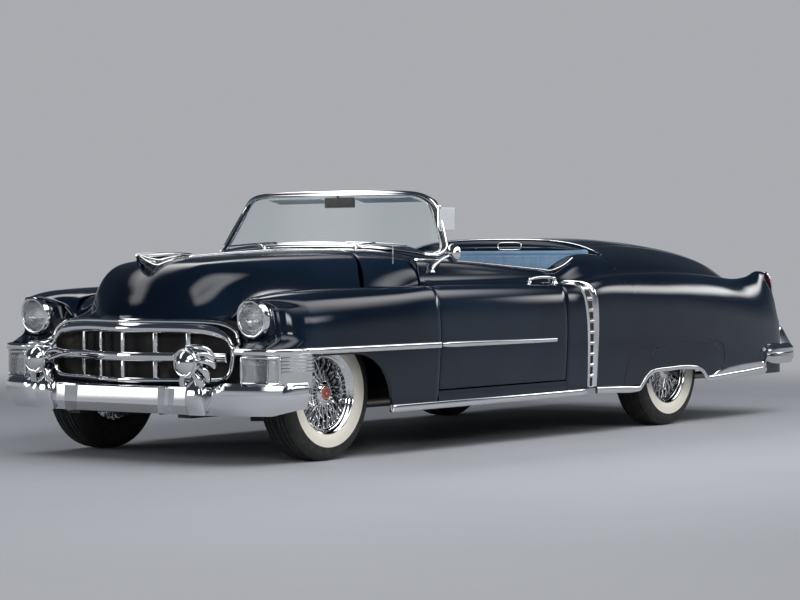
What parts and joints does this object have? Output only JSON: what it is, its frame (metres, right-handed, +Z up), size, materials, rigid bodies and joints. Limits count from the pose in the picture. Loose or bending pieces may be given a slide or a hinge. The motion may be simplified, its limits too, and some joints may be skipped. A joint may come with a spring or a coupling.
{
  "type": "1950s two-door convertible car",
  "caption": "Full-size two-door convertible with wraparound windscreen, skirted rear wheels, opening doors, hood and trunk, and steered front wheels.",
  "frame": {"origin": "on the ground at the middle of the overall length and width, under the parked car", "axes": "+Z up, the car faces -Y, its left side is +X"},
  "size_m": [2.035, 5.608, 1.4039],
  "materials": {
    "carpet": "dark blue carpet",
    "chrome": "polished",
    "dark_metal": "satin black",
    "dash_paint": "gloss",
    "glass": "clear",
    "leather": "light steel blue",
    "lens_clear": "clear lens",
    "lens_red": "red lens",
    "paint": "deep midnight blue, gloss",
    "tyre_rubber": "black with a cream whitewall",
    "wheel_metal": "polished",
    "wheel_plastic": "light blue and chrome"
  },
  "bodies": {
    "body": {"boot_cover": "paint", "chassis_frame": "dark_metal", "cowl": "paint", "dashboard": "dash_paint", "driveline": "dark_metal", "engine_block": "dark_metal", "exhaust": "dark_metal", "fender_skirts": "paint", "firewall": "dark_metal", "floor_pan": "carpet", "front_bumper": "chrome", "front_fenders": "paint", "front_seat": "leather", "front_suspension": "dark_metal", "fuel_tank": "dark_metal", "grille": "chrome", "headlights": "lens_clear", "inner_fenders": "dark_metal", "parking_lamps": "chrome", "radiator": "dark_metal", "rear_axle": "dark_metal", "rear_bumper": "chrome", "rear_deck": "paint", "rear_quarters": "paint", "rear_seat": "leather", "side_scoops": "chrome", "side_sills": "chrome", "steering_column": "dark_metal", "tail_lamps": "lens_red", "tail_panel": "paint", "trunk_floor": "carpet", "windscreen_frame": "chrome", "windscreen_glass": "glass"},
    "hood": {"hood": "paint", "hood_ornament": "chrome"},
    "trunk": {"trunk_lid": "paint"},
    "door_left": {"door_left": "paint"},
    "door_right": {"door_right": "paint"},
    "steering_left": {"knuckle_left": "dark_metal"},
    "steering_right": {"knuckle_right": "dark_metal"},
    "steering_wheel": {"steering_wheel": "wheel_plastic"},
    "wheel_front_left": {"tyre_front_left": "tyre_rubber", "rim_front_left": "wheel_metal"},
    "wheel_front_right": {"tyre_front_right": "tyre_rubber", "rim_front_right": "wheel_metal"},
    "wheel_rear_left": {"tyre_rear_left": "tyre_rubber", "rim_rear_left": "wheel_metal"},
    "wheel_rear_right": {"tyre_rear_right": "tyre_rubber", "rim_rear_right": "wheel_metal"}
  },
  "joints": [
    {"name": "hood_hinge", "type": "hinge", "parent": "body", "child": "hood", "pos_m": [0, -1.164, 1.088], "axis": [-1, 0, 0], "range_deg": [0, 48]},
    {"name": "trunk_hinge", "type": "hinge", "parent": "body", "child": "trunk", "pos_m": [0, 1.682, 1.122], "axis": [1, 0, 0], "range_deg": [0, 60]},
    {"name": "door_left_hinge", "type": "hinge", "parent": "body", "child": "door_left", "pos_m": [1.01, -1.179, 0.65], "axis": [0, 0, -1], "range_deg": [0, 65]},
    {"name": "door_right_hinge", "type": "hinge", "parent": "body", "child": "door_right", "pos_m": [-1.01, -1.179, 0.65], "axis": [0, 0, 1], "range_deg": [0, 65]},
    {"name": "steer_left", "type": "hinge", "parent": "body", "child": "steering_left", "pos_m": [0.64, -1.924, 0.345], "axis": [0, 0, 1], "range_deg": [-33, 33]},
    {"name": "steer_right", "type": "hinge", "parent": "body", "child": "steering_right", "pos_m": [-0.64, -1.924, 0.345], "axis": [0, 0, 1], "range_deg": [-33, 33]},
    {"name": "steering_wheel_turn", "type": "hinge", "parent": "body", "child": "steering_wheel", "pos_m": [0.4, -0.634, 0.911], "axis": [0, 0.866, 0.5], "range_deg": [-705, 705]},
    {"name": "wheel_front_left_spin", "type": "hinge", "parent": "steering_left", "child": "wheel_front_left", "pos_m": [0.7505, -1.924, 0.345], "axis": [1, 0, 0], "continuous": true},
    {"name": "wheel_front_right_spin", "type": "hinge", "parent": "steering_right", "child": "wheel_front_right", "pos_m": [-0.7505, -1.924, 0.345], "axis": [1, 0, 0], "continuous": true},
    {"name": "wheel_rear_left_spin", "type": "hinge", "parent": "body", "child": "wheel_rear_left", "pos_m": [0.801, 1.276, 0.345], "axis": [1, 0, 0], "continuous": true},
    {"name": "wheel_rear_right_spin", "type": "hinge", "parent": "body", "child": "wheel_rear_right", "pos_m": [-0.801, 1.276, 0.345], "axis": [1, 0, 0], "continuous": true}
  ],
  "couplings": [
    {"joint": "steer_right", "follows": "steer_left", "ratio": 1},
    {"joint": "steering_wheel_turn", "follows": "steer_left", "ratio": 21.3}
  ]
}
